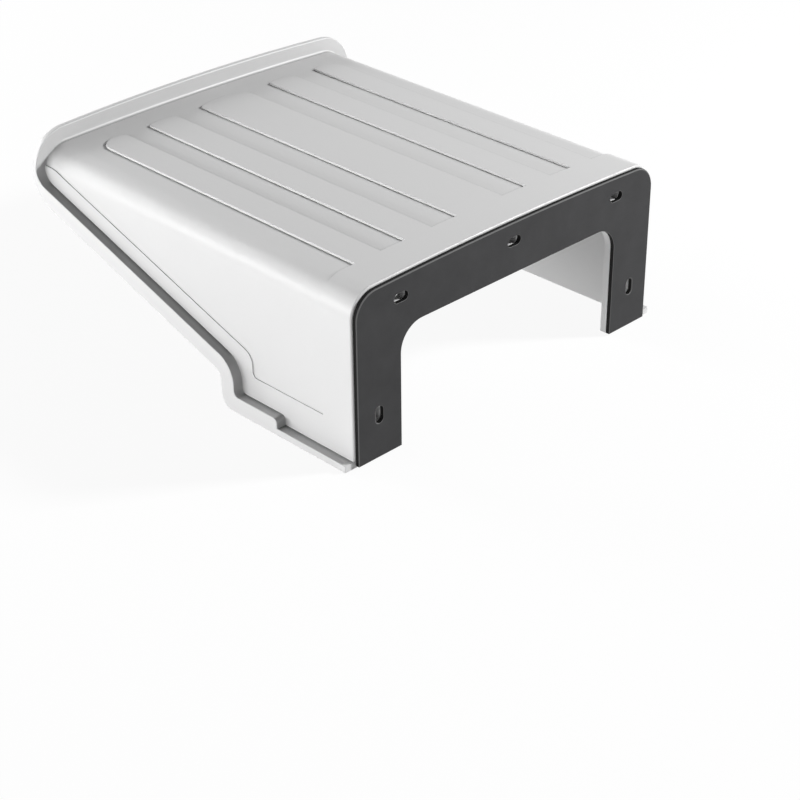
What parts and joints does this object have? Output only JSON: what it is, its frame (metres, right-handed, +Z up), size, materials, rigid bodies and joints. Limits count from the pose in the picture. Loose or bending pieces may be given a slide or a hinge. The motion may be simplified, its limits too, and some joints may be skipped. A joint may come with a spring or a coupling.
{
  "type": "security camera rain hood",
  "caption": "Moulded plastic rain and sun hood for a wall-mounted camera, ribbed on top with a rimmed open front, sealed to the wall by a slotted rubber pad.",
  "frame": {"origin": "on the wall plane, midway between the two outer top slots", "axes": "+Y into the wall, -Y out towards the hood's front lip, +Z up, +X to the right when the hood is seen from its front"},
  "size_m": [0.234, 0.249, 0.109],
  "materials": {
    "white_abs": "satin",
    "black_rubber": "matte"
  },
  "bodies": {
    "root": {"hood_shell": "white_abs", "wall_pad": "black_rubber"}
  },
  "joints": []
}
